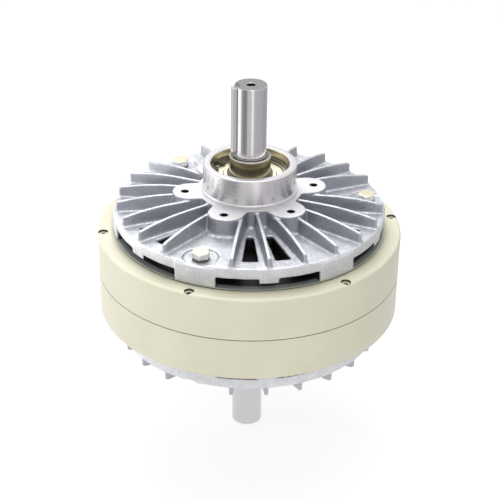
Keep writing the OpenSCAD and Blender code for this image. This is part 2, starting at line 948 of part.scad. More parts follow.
module input_shaft() {
    color(machined) difference() {
        union() {
            shaft_nose();
            rod(shoulder_r, flange_top - over, main_low);
            rod(flange_r, side_z, flange_top);
            rod(pilot_hub_r, pilot_low, side_z);
        }
        rod(pilot_outer_r, pilot_low - over, pilot_high);
        rotate([0, 0, input_key_turn]) keyway();
        flange_screw_places() {
            rod(flange_screw_r + screw_play, side_z - over, flange_top);
            countersink(flange_screw_r + screw_play, flange_top);
        }
    }
}

module countersink(r, z_high) {
    translate([0, 0, z_high - r]) cylinder(r1 = r, r2 = 2 * r, h = r);
    rod(2 * r, z_high, z_high + over);
}

module flange_screws() {
    color(dark_steel) flange_screw_places() difference() {
        union() {
            rod(flange_screw_r, flange_top - flange_screw_l, flange_top);
            translate([0, 0, flange_top - flange_screw_r])
                cylinder(r1 = flange_screw_r, r2 = 2 * flange_screw_r, h = flange_screw_r);
        }
        translate([0, 0, flange_top - flange_screw_r])
            cylinder(r = 0.6 * flange_screw_r, h = 2 * flange_screw_r, $fn = 6);
    }
}

module input_key() {
    color(machined) rotate([0, 0, input_key_turn]) shaft_key();
}

// The output shaft carries the cover bearing, the rotor and the pilot bearing
module output_shaft() {
    rotor_seat_top = rotor_hub_half + rotor_ring_t + 1.5;
    pilot_shoulder_r = pilot_bore_r + 4;
    color(machined) difference() {
        union() {
            turned_over() shaft_nose();
            rod(shoulder_r, -main_low, -cover_high);
            rod(cover_bore_r, -cover_high - over, -cover_low);
            rod(cover_shoulder_r, -cover_low, -rotor_hub_half);
            rod(rotor_seat_r, -rotor_hub_half - over, rotor_seat_top);
            rod(pilot_shoulder_r, rotor_seat_top - over, pilot_low);
            bevelled_rod(pilot_bore_r, pilot_low - over, pilot_high, 1);
        }
        tube(rotor_seat_r + over, rotor_seat_r - shaft_ring_depth, rotor_hub_half,
            rotor_hub_half + rotor_ring_t + ring_play);
        turned_over() rotate([0, 0, -output_key_turn]) keyway();
        translate([rotor_seat_r - rotor_key_depth, -rotor_key_w / 2, -rotor_key_l / 2])
            cube([2 * rotor_key_depth, rotor_key_w, rotor_key_l]);
    }
}

module output_key() {
    color(machined) turned_over() rotate([0, 0, -output_key_turn]) shaft_key();
}

// Drum

module drum_ring() {
    difference() {
        tube(drum_r, drum_in_r, break_half, drum_half);
        around(stations, station_step / 2) translate([side_screw_pos, 0, 0])
            rod(side_screw_r, side_seat_z - side_screw_l - tip_space, drum_half + over);
    }
}

module upper_drum_ring() {
    color(dark_steel) drum_ring();
}

module lower_drum_ring() {
    color(dark_steel) turned_over() drum_ring();
}

module flux_break_ring() {
    color(machined) tube(drum_r, drum_in_r, -break_half, break_half);
}

module side_screw_holes() {
    around(stations, station_step / 2) translate([side_screw_pos, 0, 0]) {
        rod(side_screw_r + screw_play, drum_half - over, side_z);
        rod(counterbore_r(side_screw_r), side_seat_z, side_z + over);
    }
}

module side_screws() {
    around(stations, station_step / 2) translate([side_screw_pos, 0, 0])
        socket_screw(side_screw_r, side_screw_l, side_seat_z);
}

module upper_side_plate() {
    color(dark_steel) difference() {
        tube(drum_r, pilot_hub_r, drum_half, side_z);
        side_screw_holes();
        flange_screw_places()
            rod(flange_screw_r, flange_top - flange_screw_l - head_sunk, side_z + over);
    }
}

module lower_side_plate() {
    color(dark_steel) turned_over() difference() {
        union() {
            tube(drum_r, cover_shoulder_r + running_gap / 2, drum_half, side_z);
            rod(cover_hub_r, drum_half + over, cover_hub_z);
        }
        rod(cover_shoulder_r + running_gap / 2, drum_half - over, side_z);
        rod(cover_outer_r, cover_low, cover_hub_z + over);
        tube(cover_outer_r + bore_ring_depth, cover_outer_r - over, cover_high,
            cover_high + bore_ring_t + ring_play);
        side_screw_holes();
    }
}

module upper_side_screws() {
    color(dark_steel) side_screws();
}

module lower_side_screws() {
    color(dark_steel) turned_over() side_screws();
}

// Rotor

module driven_rotor() {
    web_hole_r = 9;
    web_hole_pos = (rotor_hub_r + rotor_r - rotor_rim_t) / 2;
    keyway_r = rotor_seat_r - rotor_key_depth + rotor_key_h;
    rim_bevel = 1;
    color(machined) difference() {
        rotate_extrude() difference() {
            union() {
                translate([rotor_r - rotor_rim_t, -rotor_half]) square([rotor_rim_t, 2 * rotor_half]);
                translate([rotor_seat_r, -web_half])
                    square([rotor_r - rotor_seat_r - over, 2 * web_half]);
                translate([rotor_seat_r, -rotor_hub_half])
                    square([rotor_hub_r - rotor_seat_r, 2 * rotor_hub_half]);
            }
            for (side = [-1, 1]) polygon([
                [rotor_r - rim_bevel - over, side * (rotor_half + over)],
                [rotor_r + over, side * (rotor_half + over)],
                [rotor_r + over, side * (rotor_half - rim_bevel - over)]
            ]);
        }
        translate([0, -rotor_key_w / 2, -rotor_hub_half - over])
            cube([keyway_r, rotor_key_w, 2 * rotor_hub_half + 2 * over]);
        around(stations, station_step / 2) translate([web_hole_pos, 0, 0])
            rod(web_hole_r, -web_half - over, web_half + over);
    }
}

module rotor_key() {
    color(machined) translate([rotor_seat_r - rotor_key_depth, -rotor_key_w / 2, -rotor_key_l / 2])
        cube([rotor_key_h, rotor_key_w, rotor_key_l]);
}

module magnetic_powder() {
    powder_half = rotor_half - 4;
    color(dark_steel) tube(drum_in_r, drum_in_r - powder_t, -powder_half, powder_half);
}

upper_yoke();
lower_yoke();
coil_bobbin();
coil_winding();
lead_grommet();
housing_screws();
upper_bracket();
lower_bracket();
upper_bracket_bolts();
lower_bracket_bolts();
upper_lock_washers();
lower_lock_washers();
input_bearing_outer_ring();
input_bearing_shields();
input_bearing_balls();
input_bearing_cage();
input_bearing_inner_ring();
input_bore_ring();
input_shaft_ring();
output_bearing_outer_ring();
output_bearing_shields();
output_bearing_balls();
output_bearing_cage();
output_bearing_inner_ring();
output_bore_ring();
output_shaft_ring();
input_shaft();
input_key();
output_shaft();
output_key();
upper_drum_ring();
flux_break_ring();
lower_drum_ring();
upper_side_plate();
lower_side_plate();
upper_side_screws();
lower_side_screws();
flange_screws();
pilot_bearing_outer_ring();
pilot_bearing_balls();
pilot_bearing_cage();
pilot_bearing_inner_ring();
cover_bearing_outer_ring();
cover_bearing_balls();
cover_bearing_cage();
cover_bearing_inner_ring();
cover_bore_ring();
driven_rotor();
rotor_key();
rotor_ring();
magnetic_powder();
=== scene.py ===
"""Looks of the magnetic powder clutch: cast brackets, finishes, light and camera."""

import math

import bpy
import numpy as np
import openvdb
from mathutils import Matrix, Vector


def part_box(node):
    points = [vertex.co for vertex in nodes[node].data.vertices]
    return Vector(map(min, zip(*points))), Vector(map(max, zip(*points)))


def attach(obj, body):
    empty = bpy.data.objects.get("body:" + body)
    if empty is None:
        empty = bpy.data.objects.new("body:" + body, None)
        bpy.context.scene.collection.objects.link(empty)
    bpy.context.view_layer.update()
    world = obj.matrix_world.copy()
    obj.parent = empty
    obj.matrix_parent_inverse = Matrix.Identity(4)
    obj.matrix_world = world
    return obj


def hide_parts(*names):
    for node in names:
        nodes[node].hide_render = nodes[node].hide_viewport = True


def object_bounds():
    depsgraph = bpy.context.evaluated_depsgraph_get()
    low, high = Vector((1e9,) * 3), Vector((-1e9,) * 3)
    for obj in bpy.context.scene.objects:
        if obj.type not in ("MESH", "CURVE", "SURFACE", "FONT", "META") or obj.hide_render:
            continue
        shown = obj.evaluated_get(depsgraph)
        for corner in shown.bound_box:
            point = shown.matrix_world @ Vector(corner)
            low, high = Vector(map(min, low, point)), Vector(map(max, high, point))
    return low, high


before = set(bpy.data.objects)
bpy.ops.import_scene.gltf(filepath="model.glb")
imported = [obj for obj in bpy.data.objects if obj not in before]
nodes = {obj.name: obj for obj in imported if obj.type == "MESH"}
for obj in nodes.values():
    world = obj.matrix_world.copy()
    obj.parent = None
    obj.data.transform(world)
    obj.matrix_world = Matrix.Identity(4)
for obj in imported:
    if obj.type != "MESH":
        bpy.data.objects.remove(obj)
cad_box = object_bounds()

# Sizes of the object are in millimetres, and places in the studio in metres
MM = 0.001
LOW, HIGH = 0, 1
X, Y, Z = 0, 1, 2


def edge(node, corner, axis):
    """Where a node ends at rest, LOW or HIGH along an axis, in millimetres."""
    return round(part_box(node)[corner][axis] / MM, 3)


# Heights are measured from the seam of the housing, and radii from the axis of the shafts
SPIGOT_TOP = edge("upper_bracket", HIGH, Z)
PAD_END_R = edge("upper_bracket", HIGH, X)
RIM_R = edge("upper_bracket", HIGH, Y)
PAD_FOOT = edge("upper_bracket", LOW, Z)
HOUSING_R = edge("upper_yoke", HIGH, X)
LAND = edge("upper_yoke", HIGH, Z)
BEARING_LOW = edge("input_bearing_outer_ring", LOW, Z)
BEARING_HIGH = edge("input_bearing_outer_ring", HIGH, Z)
BEARING_R = edge("input_bearing_outer_ring", HIGH, X)
SHIELD_R = edge("input_bearing_shields", HIGH, X)
SHIELD_IN_R = edge("input_bearing_inner_ring", HIGH, X)
SPOT = edge("upper_lock_washers", LOW, Z)
SHAFT_END = edge("input_shaft", HIGH, Z)
BOLT_TOP = edge("upper_bracket_bolts", HIGH, Z)
SCREW_TOP = edge("housing_screws", HIGH, Z)

# Six stations each carry a pad and a lobe, and every second one has a bolt in place of its fin
STATIONS = 6
FINS_PER_STATION = 4
FINS_PER_BOLT = 2 * FINS_PER_STATION
STATION_STEP = 2 * math.pi / STATIONS
FIN_STEP = STATION_STEP / FINS_PER_STATION
BOLT_STEP = 2 * STATION_STEP

# Hub and plate, from the top of the spigot down
SPIGOT_H = 31.3
HUB_RISE = 20
PLATE_T = 12
HUB_FACE = SPIGOT_TOP - SPIGOT_H
PLATE_TOP = HUB_FACE - HUB_RISE
PLATE_LOW = PLATE_TOP - PLATE_T
PLATE_MIDDLE = (PLATE_LOW + PLATE_TOP) / 2
HUB_LOW = 68
HUB_RECESS_R = 56
HUB_RING_R = 57.5
LOBE_R = 19.5
LOBE_END_R = 84.5
LOBE_HOLE_POS = 71
LOBE_HOLE_R = 4.25
LOBE_HOLE_DEPTH = 20

# Spigot and the bore through it
SPIGOT_R = 51
SPIGOT_BEVEL = 1.3
LEDGE_W = 1.5
LEDGE_H = 2.5
RING_GROOVE_W = 3.1
RING_GROOVE_DEPTH = 1.75
LIP_BORE_R = BEARING_R - 5.5
LIP_LOW = BEARING_LOW - 5
LABYRINTH_R = 28

# Fins and windows
FIN_RISE = 17.3
FIN_END_RISE = 10.6
FIN_TIP_T = 3.6
FIN_ROOT_T = 5.2
FIN_ARCH_R = 85
FIN_TOP = PLATE_TOP + FIN_RISE
FIN_END_R = RIM_R - 2
WINDOW_IN_R = 77
WINDOW_OUT_R = RIM_R - 17
WINDOW_IN_W = 8
WINDOW_OUT_W = 16.5

# Pads, short feet and bolt seats
PAD_W = 45
PAD_L = 32
PAD_TOP = PLATE_TOP - 2.4
REGISTER_R = PAD_END_R - 13.6
FOOT_W = 20.7
FOOT_L = 12
FOOT_LOW = PLATE_LOW - 5
FOOT_ROOT = PLATE_TOP - 2
BOLT_POS = PAD_END_R - 18
BOLT_HOLE_R = 5.3
SPOT_R = 18.5

# Housing and shafts
LAND_RISE = 1.5
SCREW_POS = HOUSING_R - 6.25
COUNTERBORE_R = 5.6
SHAFT_R = 17.5
COLLAR_TOP = SPIGOT_TOP + 8.7

# Fillets of the casting. The one round the hub is large on the plate and small at the hub's face
FOOT_FILLET = 4.5
TOP_FILLET = 0.9
FIN_FILLET = 2.6
LOBE_FILLET = 2.5
PAD_FILLET = 1.5

# Rounded edges of the casting
PLATE_EDGE = 1.5
FIN_EDGE = 0.9
FIN_END_EDGE = 2.0
WINDOW_CORNER = 2.5
WINDOW_EDGE = 1.0
PAD_CORNER = 3.0
PAD_END_EDGE = 1.0
PAD_TOP_EDGE = 1.2
FOOT_CORNER = 1.5
FOOT_EDGE = 1.0
HUB_EDGE = 0.7
SPOT_EDGE = 0.5
HOLE_EDGE = 0.6

# Rounded edges of the turned spigot
SPIGOT_EDGE = 0.3
LEDGE_EDGE = 0.5
LEDGE_FOOT = 0.7
GROOVE_EDGE = 0.15

# Stock on the hub that milling its face takes off, and how far spigot and casting lap over each other
MILLING_STOCK = 1
SPIGOT_LAP = 2

VOXEL = 0.75
FIELD_MARGIN = 3 * VOXEL
FIELD_BAND = 2.5 * VOXEL
ADAPTIVITY = 0.02

# A depth beyond any in the casting, for a cut that leaves all as it is
FAR = 100


def fillet(a, b, r):
    """Union of two distance fields, with a fillet of radius r where they meet."""
    u = np.maximum(r - a, 0)
    v = np.maximum(r - b, 0)
    return np.maximum(r, np.minimum(a, b)) - np.sqrt(u * u + v * v)


def common(a, b, r):
    """What two distance fields share, with the edge between them rounded to radius r."""
    u = np.maximum(r + a, 0)
    v = np.maximum(r + b, 0)
    return np.minimum(-r, np.maximum(a, b)) + np.sqrt(u * u + v * v)


def cut(a, b, r):
    """Field a without b, with the edge rounded to radius r."""
    return common(a, -b, r)


def off_spoke(theta, step, start=0.0):
    """Angle from the nearest of the spokes at start, start + step and so on."""
    return (theta - start + step / 2) % step - step / 2


def spokes(radius, theta, step, start=0.0):
    """Distance along and across the nearest spoke."""
    angle = off_spoke(theta, step, start)
    return radius * np.cos(angle), radius * np.sin(angle)


def outside(value, low, high):
    """Distance outside the span from low to high, negative within it."""
    return np.abs(value - (low + high) / 2) - (high - low) / 2


def arc_through(run, drop):
    """Radius of an arc that starts level and falls by drop over run."""
    return (run * run + drop * drop) / (2 * drop)


def plate_field(radius, z):
    """The flat disc, hollowed below the hub."""
    across = outside(radius, HUB_RECESS_R, RIM_R)
    up = outside(z, PLATE_LOW, PLATE_TOP)
    return common(across, up, PLATE_EDGE)


def fin_field(radius, theta, z):
    """All fins: tapered blades under one arched envelope, left out at the bolts."""
    off = np.abs(off_spoke(theta, FIN_STEP))
    at_bolt = np.round(theta / FIN_STEP) % FINS_PER_BOLT == 0
    off = np.where(at_bolt, FIN_STEP - off, off)
    up = (z - PLATE_MIDDLE) / (FIN_TOP - PLATE_MIDDLE)
    half = FIN_ROOT_T / 2 + (FIN_TIP_T - FIN_ROOT_T) / 2 * up
    side = radius * np.sin(off) - half
    arch_r = arc_through(FIN_END_R - FIN_ARCH_R, FIN_RISE - FIN_END_RISE)
    out = np.maximum(radius - FIN_ARCH_R, 0)
    top = np.hypot(out, z - FIN_TOP + arch_r) - arch_r
    blade = common(side, top, FIN_EDGE)
    blade = common(blade, radius - FIN_END_R, FIN_END_EDGE)
    return np.maximum(blade, PLATE_MIDDLE - z)


def hub_field(radius, theta, z):
    """The hub ring and its six lobes with straight sides and round ends."""
    along, across = spokes(radius, theta, STATION_STEP)
    beyond = np.maximum(along - (LOBE_END_R - LOBE_R), 0)
    lobe = np.hypot(beyond, across) - LOBE_R
    outline = fillet(radius - HUB_RING_R, lobe, LOBE_FILLET)
    height = np.maximum(z - HUB_FACE - MILLING_STOCK, PLATE_MIDDLE - z)
    return np.maximum(outline, height)


def hub_fillet(z):
    """Radius of the fillet round the hub, by height."""
    up = np.clip((z - PLATE_TOP) / (HUB_FACE - PLATE_TOP), 0, 1)
    return FOOT_FILLET + (TOP_FILLET - FOOT_FILLET) * up


def window_outline(radius, theta):
    """Flat distance to the twelve keystone windows, each with a round inner end."""
    turned = np.abs(off_spoke(theta, STATION_STEP, STATION_STEP / 2)) - FIN_STEP / 2
    along = radius * np.cos(turned)
    across = np.abs(radius * np.sin(turned))
    start = WINDOW_IN_R + WINDOW_IN_W / 2
    slope = (WINDOW_OUT_W - WINDOW_IN_W) / 2 / (WINDOW_OUT_R - start)
    side = (across - WINDOW_IN_W / 2 - (along - start) * slope) / math.sqrt(1 + slope**2)
    keystone = common(side, along - WINDOW_OUT_R, WINDOW_CORNER)
    inner_end = np.hypot(along - start, across) - WINDOW_IN_W / 2
    return np.where(along < start, inner_end, keystone)


def pad_field(radius, theta, z):
    """Pads at the stations, stepped to sit in the register."""
    along, across = spokes(radius, theta, STATION_STEP)
    pad = common(np.abs(across) - PAD_W / 2, PAD_END_R - PAD_L - along, PAD_CORNER)
    pad = common(pad, radius - PAD_END_R, PAD_END_EDGE)
    pad = common(pad, z - PAD_TOP, PAD_TOP_EDGE)
    seat = np.where(radius < REGISTER_R, PAD_FOOT, LAND)
    return np.maximum(pad, seat - z)


def short_foot_field(radius, theta, z):
    """Short feet below the rim, halfway between the pads."""
    _, across = spokes(radius, theta, STATION_STEP, STATION_STEP / 2)
    foot = common(np.abs(across) - FOOT_W / 2, radius - RIM_R, FOOT_CORNER)
    foot = np.maximum(foot, RIM_R - FOOT_L - radius)
    foot = common(foot, FOOT_LOW - z, FOOT_EDGE)
    return np.maximum(foot, z - FOOT_ROOT)


def unevenness(x, y, z):
    """Slow swell of a sand-cast skin, within a few tenths of a millimetre, from waves that never line up."""
    swell = np.sin(0.23 * x + 1.7 * np.sin(0.11 * y)) * np.sin(0.19 * y + 1.3 * np.sin(0.13 * x))
    ripple = np.sin(0.71 * x + 0.53 * y + 2 * np.sin(0.17 * y)) * np.sin(0.67 * y - 0.49 * x)
    return (0.10 * swell + 0.05 * ripple) * np.cos(0.31 * z)


def without_bolt_seats(field, radius, theta, z):
    """Field with a spot face and a clearance hole for each bracket bolt."""
    along, across = spokes(radius, theta, BOLT_STEP)
    to_bolt = np.hypot(along - BOLT_POS, across)
    field = cut(field, np.maximum(to_bolt - SPOT_R, SPOT - z), SPOT_EDGE)
    return np.maximum(field, BOLT_HOLE_R - to_bolt)


def without_lobe_holes(field, radius, theta, z):
    """Field with a blind hole in each lobe."""
    along, across = spokes(radius, theta, STATION_STEP)
    to_hole = np.hypot(along - LOBE_HOLE_POS, across)
    hole = np.maximum(to_hole - LOBE_HOLE_R, HUB_FACE - LOBE_HOLE_DEPTH - z)
    return cut(field, hole, HOLE_EDGE)


def without_bore(field, radius, z):
    """Field with the stepped bore, and the recess below the hub."""
    bore = np.where(z > LIP_LOW, LIP_BORE_R, LABYRINTH_R)
    bore = np.where(z > BEARING_LOW - SPIGOT_LAP, BEARING_R + SPIGOT_LAP, bore)
    field = np.maximum(field, bore - radius)
    return np.maximum(field, np.where(radius < HUB_RECESS_R, HUB_LOW - z, -FAR))


def casting_field(x, y, z):
    """Signed distance to the cast bracket."""
    radius = np.hypot(x, y)
    theta = np.arctan2(y, x)
    feet = np.minimum(pad_field(radius, theta, z), short_foot_field(radius, theta, z))
    field = fillet(plate_field(radius, z), fin_field(radius, theta, z), FIN_FILLET)
    field = fillet(field, hub_field(radius, theta, z), hub_fillet(z))
    field = fillet(field, feet, PAD_FILLET)
    field = cut(field, window_outline(radius, theta), WINDOW_EDGE)
    field = field + unevenness(x, y, z)
    field = common(field, z - HUB_FACE, HUB_EDGE)
    field = without_bolt_seats(field, radius, theta, z)
    field = without_lobe_holes(field, radius, theta, z)
    return without_bore(field, radius, z)


def casting_mesh():
    """Points in metres and faces of the casting, from its distance field."""
    low = PAD_FOOT - FIELD_MARGIN
    count = math.ceil(2 * (PAD_END_R + FIELD_MARGIN) / VOXEL)
    layers = math.ceil((HUB_FACE + FIELD_MARGIN - low) / VOXEL)
    steps = (np.arange(count) - (count - 1) / 2) * VOXEL
    x = steps.astype(np.float32)[:, None, None]
    y = steps.astype(np.float32)[None, :, None]
    z = (low + np.arange(layers) * VOXEL).astype(np.float32)[None, None, :]
    field = np.clip(casting_field(x, y, z), -FIELD_BAND, FIELD_BAND).astype(np.float32)
    grid = openvdb.FloatGrid(FIELD_BAND)
    grid.copyFromArray(field, tolerance=0.0)
    points, triangles, quads = grid.convertToPolygons(0.0, ADAPTIVITY)
    points = points * VOXEL + np.array([steps[0], steps[0], low])
    return points * MM, triangles[:, ::-1], quads[:, ::-1]


def rounded(corners, arc_points=5):
    """Profile points from (radius, height, rounding) corners, each corner turned into an arc."""
    out = []
    count = len(corners)
    for i in range(count):
        before, here, after = (np.array(corners[(i + k) % count][:2], float) for k in (-1, 0, 1))
        rounding = corners[i][2]
        if not rounding:
            out.append(here)
            continue
        start = here + (before - here) / np.linalg.norm(before - here) * rounding
        end = here + (after - here) / np.linalg.norm(after - here) * rounding
        for t in np.linspace(0, 1, arc_points):
            out.append((1 - t) ** 2 * start + 2 * t * (1 - t) * here + t**2 * end)
    return np.array(out)


def lathe(profile, segments=192):
    """Points and quads of a closed (radius, height) profile turned round Z."""
    turns = np.arange(segments) * 2 * math.pi / segments
    count = len(profile)
    points = np.array([
        (r * math.cos(turn), r * math.sin(turn), z) for turn in turns for r, z in profile
    ])
    quads = []
    for s in range(segments):
        here, beyond = s * count, (s + 1) % segments * count
        for i in range(count):
            j = (i + 1) % count
            quads.append((here + i, beyond + i, beyond + j, here + j))
    return points, np.array(quads)


def spigot_mesh():
    """The turned spigot: ledge, outer wall, rim, ring groove and bearing bore."""
    foot = HUB_FACE - SPIGOT_LAP
    ledge_r = SPIGOT_R + LEDGE_W
    ledge_top = HUB_FACE + LEDGE_H
    bevel_low = SPIGOT_TOP - SPIGOT_BEVEL
    groove_r = BEARING_R + RING_GROOVE_DEPTH
    groove_top = BEARING_HIGH + RING_GROOVE_W
    corners = [
        (BEARING_R, foot, 0),
        (ledge_r, foot, 0),
        (ledge_r, ledge_top, LEDGE_EDGE),
        (SPIGOT_R, ledge_top, LEDGE_FOOT),
        (SPIGOT_R, bevel_low, SPIGOT_EDGE),
        (SPIGOT_R - SPIGOT_BEVEL, SPIGOT_TOP, SPIGOT_EDGE),
        (BEARING_R + SPIGOT_BEVEL, SPIGOT_TOP, SPIGOT_EDGE),
        (BEARING_R, bevel_low, SPIGOT_EDGE),
        (BEARING_R, groove_top, GROOVE_EDGE),
        (groove_r, groove_top, 0),
        (groove_r, BEARING_HIGH, 0),
        (BEARING_R, BEARING_HIGH, GROOVE_EDGE),
    ]
    points, quads = lathe(rounded(corners))
    return points * MM, quads


def mesh_from(name, parts):
    """One smooth-shaded mesh from (points, arrays of faces, material slot) parts."""
    mesh = bpy.data.meshes.new(name)
    points, loops, sizes, slots = [], [], [], []
    offset = 0
    for part_points, faces_list, slot in parts:
        points.append(part_points)
        for faces in faces_list:
            if len(faces) == 0:
                continue
            loops.append((faces + offset).ravel())
            sizes.append(np.full(len(faces), faces.shape[1]))
            slots.append(np.full(len(faces), slot))
        offset += len(part_points)
    points, loops = np.concatenate(points), np.concatenate(loops)
    sizes, slots = np.concatenate(sizes), np.concatenate(slots)
    starts = np.concatenate([[0], np.cumsum(sizes)[:-1]])
    mesh.vertices.add(len(points))
    mesh.vertices.foreach_set("co", points.astype(np.float32).ravel())
    mesh.loops.add(len(loops))
    mesh.loops.foreach_set("vertex_index", loops.astype(np.int32))
    mesh.polygons.add(len(sizes))
    mesh.polygons.foreach_set("loop_start", starts.astype(np.int32))
    mesh.polygons.foreach_set("material_index", slots.astype(np.int32))
    mesh.update(calc_edges=True)
    mesh.validate()
    mesh.shade_smooth()
    return mesh


def add_object(name, data):
    """New object of the scene."""
    made = bpy.data.objects.new(name, data)
    bpy.context.scene.collection.objects.link(made)
    return made


class Nodes:
    """Short way to build the node tree of a material or of the world."""

    def __init__(self, owner, shader, coordinates):
        owner.use_nodes = True
        self.owner = owner
        self.tree = owner.node_tree
        self.shader = self.tree.nodes[shader]
        self.where = self.node("ShaderNodeTexCoord").outputs[coordinates]

    def node(self, kind, **settings):
        made = self.tree.nodes.new(kind)
        for key, value in settings.items():
            setattr(made, key, value)
        return made

    def feed(self, socket, value):
        """Sets a socket to a number or a colour, or links it to another socket."""
        if isinstance(value, (int, float)):
            socket.default_value = value
        elif isinstance(value, tuple):
            socket.default_value = (*value, 1)
        else:
            self.tree.links.new(value, socket)

    def set(self, name, value):
        """Feeds one of the shader's own sockets."""
        self.feed(self.shader.inputs[name], value)

    def math(self, operation, *values):
        made = self.node("ShaderNodeMath", operation=operation)
        for socket, value in zip(made.inputs, values):
            self.feed(socket, value)
        return made.outputs[0]

    def both(self, a, b):
        return self.math("MULTIPLY", a, b)

    def either(self, a, b):
        return self.math("MAXIMUM", a, b)

    def squares(self, a, b):
        """Sum of two squares."""
        return self.math("ADD", self.math("MULTIPLY", a, a), self.math("MULTIPLY", b, b))

    def split(self, vector):
        """The three parts of a vector."""
        made = self.node("ShaderNodeSeparateXYZ")
        self.feed(made.inputs[0], vector)
        return made.outputs

    def noise(self, size, detail=3, vector=None, rough=0.55):
        """Noise with features about size millimetres wide, from 0 to 1."""
        made = self.node("ShaderNodeTexNoise")
        made.inputs["Scale"].default_value = 1 / (size * MM)
        made.inputs["Detail"].default_value = detail
        made.inputs["Roughness"].default_value = rough
        self.feed(made.inputs["Vector"], vector or self.where)
        return made.outputs["Fac"]

    def ramp(self, value, low, high, out_low=0.0, out_high=1.0):
        """Value from low..high onto out_low..out_high, held at the ends."""
        made = self.node("ShaderNodeMapRange")
        made.inputs["From Min"].default_value = low
        made.inputs["From Max"].default_value = high
        made.inputs["To Min"].default_value = out_low
        made.inputs["To Max"].default_value = out_high
        self.feed(made.inputs["Value"], value)
        return made.outputs["Result"]

    def cloud(self, size):
        """Soft patches about size millimetres wide, from 0 to 1."""
        return self.ramp(self.noise(size, 4), 0.35, 0.7)

    def around(self, level, noise, share=0.15):
        """Level, up or down by a share of itself with the noise."""
        return self.ramp(noise, 0.3, 0.7, level * (1 - share), level * (1 + share))

    def mix(self, factor, a, b):
        """Colour a where factor is 0 and b where it is 1."""
        made = self.node("ShaderNodeMix", data_type="RGBA")
        self.feed(made.inputs["Factor"], factor)
        self.feed(made.inputs[6], a)
        self.feed(made.inputs[7], b)
        return made.outputs[2]

    def layers(self, colour, *covers):
        """Colour under (place, colour) covers, each laid over those before it."""
        for place, cover in covers:
            colour = self.mix(place, colour, cover)
        return colour

    def bump(self, height, depth, under=None):
        """Relief depth millimetres deep, on top of the relief under it."""
        made = self.node("ShaderNodeBump")
        made.inputs["Strength"].default_value = 1.0
        made.inputs["Distance"].default_value = depth * MM
        self.feed(made.inputs["Height"], height)
        if under is not None:
            self.feed(made.inputs["Normal"], under)
        return made.outputs["Normal"]


class Material(Nodes):
    """Nodes of a new material, with coordinates in the object's own frame."""

    def __init__(self, name):
        super().__init__(bpy.data.materials.new(name), "Principled BSDF", "Object")


class TurnedMaterial(Material):
    """Material that knows radius, height and angle, and coordinates that follow a lathe."""

    def __init__(self, name):
        super().__init__(name)
        x, y, self.z = self.split(self.where)
        self.radius = self.math("SQRT", self.squares(x, y))
        self.height = self.math("ABSOLUTE", self.z)
        self.angle = self.math("ARCTAN2", y, x)
        join = self.node("ShaderNodeCombineXYZ")
        self.feed(join.inputs[0], self.radius)
        self.feed(join.inputs[2], self.z)
        self.lathe_way = join.outputs[0]

    def above(self, length, limit):
        """1 where a length is more than limit millimetres."""
        return self.math("GREATER_THAN", length, limit * MM)

    def below(self, length, limit):
        """1 where a length is less than limit millimetres."""
        return self.math("LESS_THAN", length, limit * MM)

    def fade(self, length, start, end, most=1.0):
        """Most where a length is up to start millimetres, falling to 0 at end."""
        return self.ramp(length, start * MM, end * MM, most, 0.0)

    def within(self, step, distance, reach):
        """1 within reach of the axes that stand round Z at every step, distance away from it."""
        folded = self.math("WRAP", self.angle, step / 2, -step / 2)
        along = self.math("MULTIPLY", self.radius, self.math("COSINE", folded))
        across = self.math("MULTIPLY", self.radius, self.math("SINE", folded))
        beyond = self.math("SUBTRACT", along, distance * MM)
        return self.math("LESS_THAN", self.squares(beyond, across), (reach * MM) ** 2)


# A border between two finishes lies this far off the edge that it follows, so that no rounding of
# a number puts the wrong finish on a face
HAIR = 0.1
SKIN = 0.3

# Width of the finest grain of metal, and of the lines that a lathe leaves
FINE_GRAIN = 0.6
GRAIN_DEPTH = 0.03


def metal(name, colour, darker, rough, shine=1.0, grain_depth=GRAIN_DEPTH):
    """Metal with a fine grain and a cloudy tint."""
    n = Material(name)
    n.set("Base Color", n.mix(n.cloud(20), colour, darker))
    n.set("Metallic", shine)
    n.set("Roughness", n.around(rough, n.noise(4)))
    n.set("Normal", n.bump(n.noise(FINE_GRAIN), grain_depth))
    return n.owner


def dull(name, colour, lighter, rough, grain=1.0, depth=0.05):
    """Resin, rubber, powder and varnish: no metal, a fine grain and a cloudy tint."""
    n = Material(name)
    n.set("Base Color", n.mix(n.cloud(6), colour, lighter))
    n.set("Roughness", n.around(rough, n.noise(3, 2), 0.1))
    n.set("Normal", n.bump(n.noise(grain), depth))
    return n.owner


def turned_lines(n, colour, darker, rough, depth):
    """Fine lines round the axis in gloss and relief, and a tint with faint handling marks."""
    lines = n.noise(FINE_GRAIN, vector=n.lathe_way)
    marks = n.ramp(n.noise(30, 4), 0.45, 0.75, 0.0, 0.5)
    n.set("Metallic", 1.0)
    n.set("Roughness", n.around(rough, lines))
    n.set("Normal", n.bump(n.noise(FINE_GRAIN, 2, n.lathe_way), depth))
    return n.layers(colour, (n.ramp(lines, 0.35, 0.65), darker), (marks, darker))


# Zinc plate, grey on the flanks of a head and yellow within CROWN_DEPTH of its top
ZINC_GREY = (0.80, 0.795, 0.76)
ZINC_GREY_DULL = (0.66, 0.65, 0.61)
ZINC_YELLOW = (0.80, 0.74, 0.55)
ZINC_YELLOW_DULL = (0.74, 0.66, 0.44)
CROWN_DEPTH = 0.5


def zinc_plate():
    """Zinc-plated bolts: pale grey flanks, and a yellow cast on the top of the head."""
    n = TurnedMaterial("zinc_plate")
    patches = n.cloud(6)
    flank = n.mix(patches, ZINC_GREY, ZINC_GREY_DULL)
    crown = n.mix(patches, ZINC_YELLOW, ZINC_YELLOW_DULL)
    n.set("Base Color", n.mix(n.above(n.height, BOLT_TOP - CROWN_DEPTH), flank, crown))
    n.set("Metallic", 0.9)
    n.set("Roughness", 0.3)
    n.set("Normal", n.bump(n.noise(FINE_GRAIN), GRAIN_DEPTH))
    return n.owner


